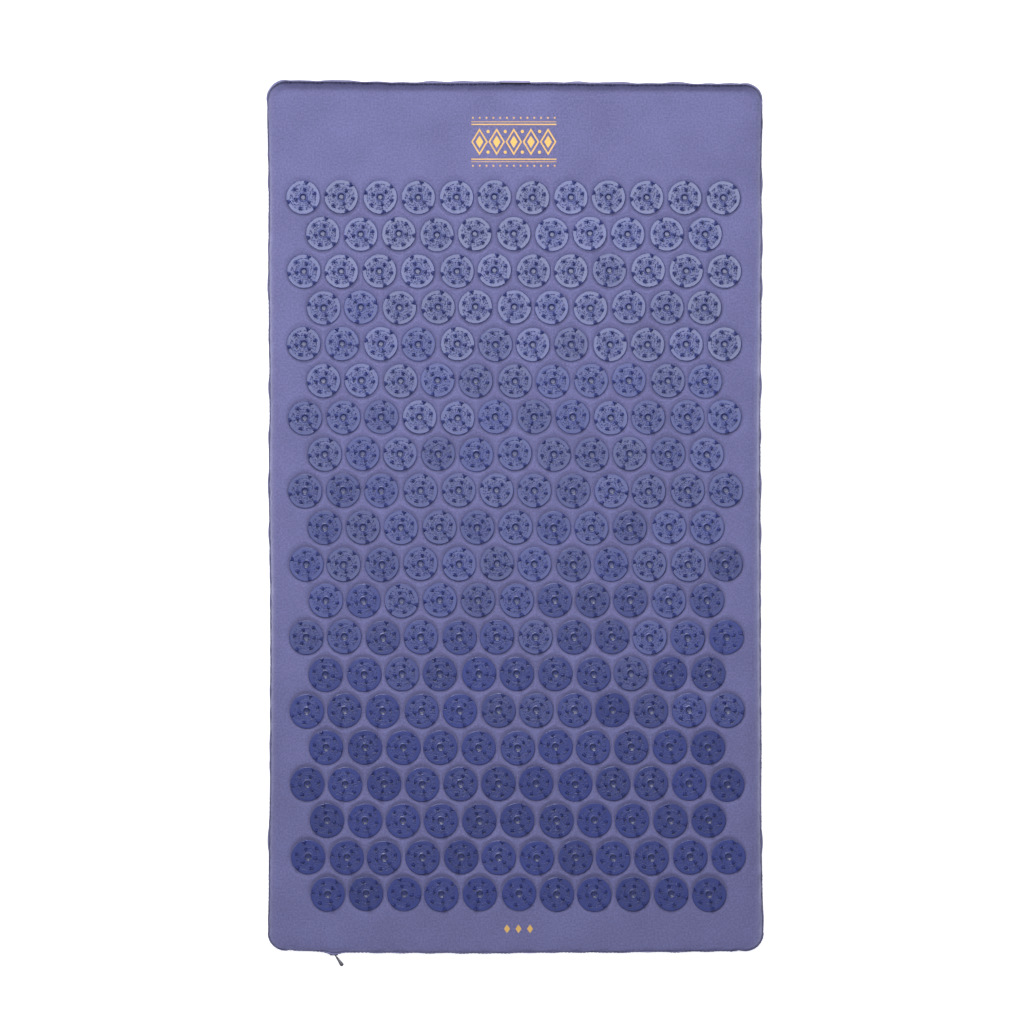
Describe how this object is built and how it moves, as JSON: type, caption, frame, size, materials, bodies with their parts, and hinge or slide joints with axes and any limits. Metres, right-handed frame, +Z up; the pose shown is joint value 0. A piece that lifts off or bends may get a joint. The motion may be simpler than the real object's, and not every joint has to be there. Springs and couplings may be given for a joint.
{
  "type": "acupressure mat",
  "caption": "Flat rectangular foam mat in a zipped cotton cover, its top set with staggered rows of spiked plastic discs for lying or standing on.",
  "frame": {"origin": "centre of the underside, on the floor under the middle of the cover", "axes": "+X to the right seen from above with the head end up, +Y to the head end, away from the zip, +Z up out of the spiked face"},
  "size_m": [0.42, 0.7559, 0.0298],
  "materials": {
    "cover_cloth": "matte",
    "foam": "matte",
    "disc_plastic": "gloss",
    "zip_tape": "matte",
    "zip_coil": "satin",
    "zip_metal": "satin",
    "label_ribbon": "matte"
  },
  "bodies": {
    "mat": {"foam_pad": "foam", "cover_top_panel": "cover_cloth", "cover_bottom_panel": "cover_cloth", "side_band": "cover_cloth", "foot_band_upper": "cover_cloth", "foot_band_lower": "cover_cloth", "side_label": "label_ribbon", "zip_tape_upper": "zip_tape", "zip_tape_lower": "zip_tape", "zip_coil_upper": "zip_coil", "zip_coil_lower": "zip_coil", "zip_stop_left": "zip_metal", "zip_stop_right": "zip_metal", "disc_row_01": "disc_plastic", "disc_row_02": "disc_plastic", "disc_row_03": "disc_plastic", "disc_row_04": "disc_plastic", "disc_row_05": "disc_plastic", "disc_row_06": "disc_plastic", "disc_row_07": "disc_plastic", "disc_row_08": "disc_plastic", "disc_row_09": "disc_plastic", "disc_row_10": "disc_plastic", "disc_row_11": "disc_plastic", "disc_row_12": "disc_plastic", "disc_row_13": "disc_plastic", "disc_row_14": "disc_plastic", "disc_row_15": "disc_plastic", "disc_row_16": "disc_plastic", "disc_row_17": "disc_plastic", "disc_row_18": "disc_plastic", "disc_row_19": "disc_plastic", "disc_row_20": "disc_plastic"},
    "slider": {"zip_slider": "zip_metal"},
    "pull": {"zip_pull": "zip_metal"}
  },
  "joints": [
    {"name": "zip_slide", "type": "slide", "parent": "mat", "child": "slider", "axis": [1, 0, 0], "range_m": [0, 0.309]},
    {"name": "zip_pull_swing", "type": "hinge", "parent": "slider", "child": "pull", "pos_m": [-0.15455, -0.3728, 0.01175], "axis": [0, 0, 1], "range_deg": [-116, 46]}
  ]
}
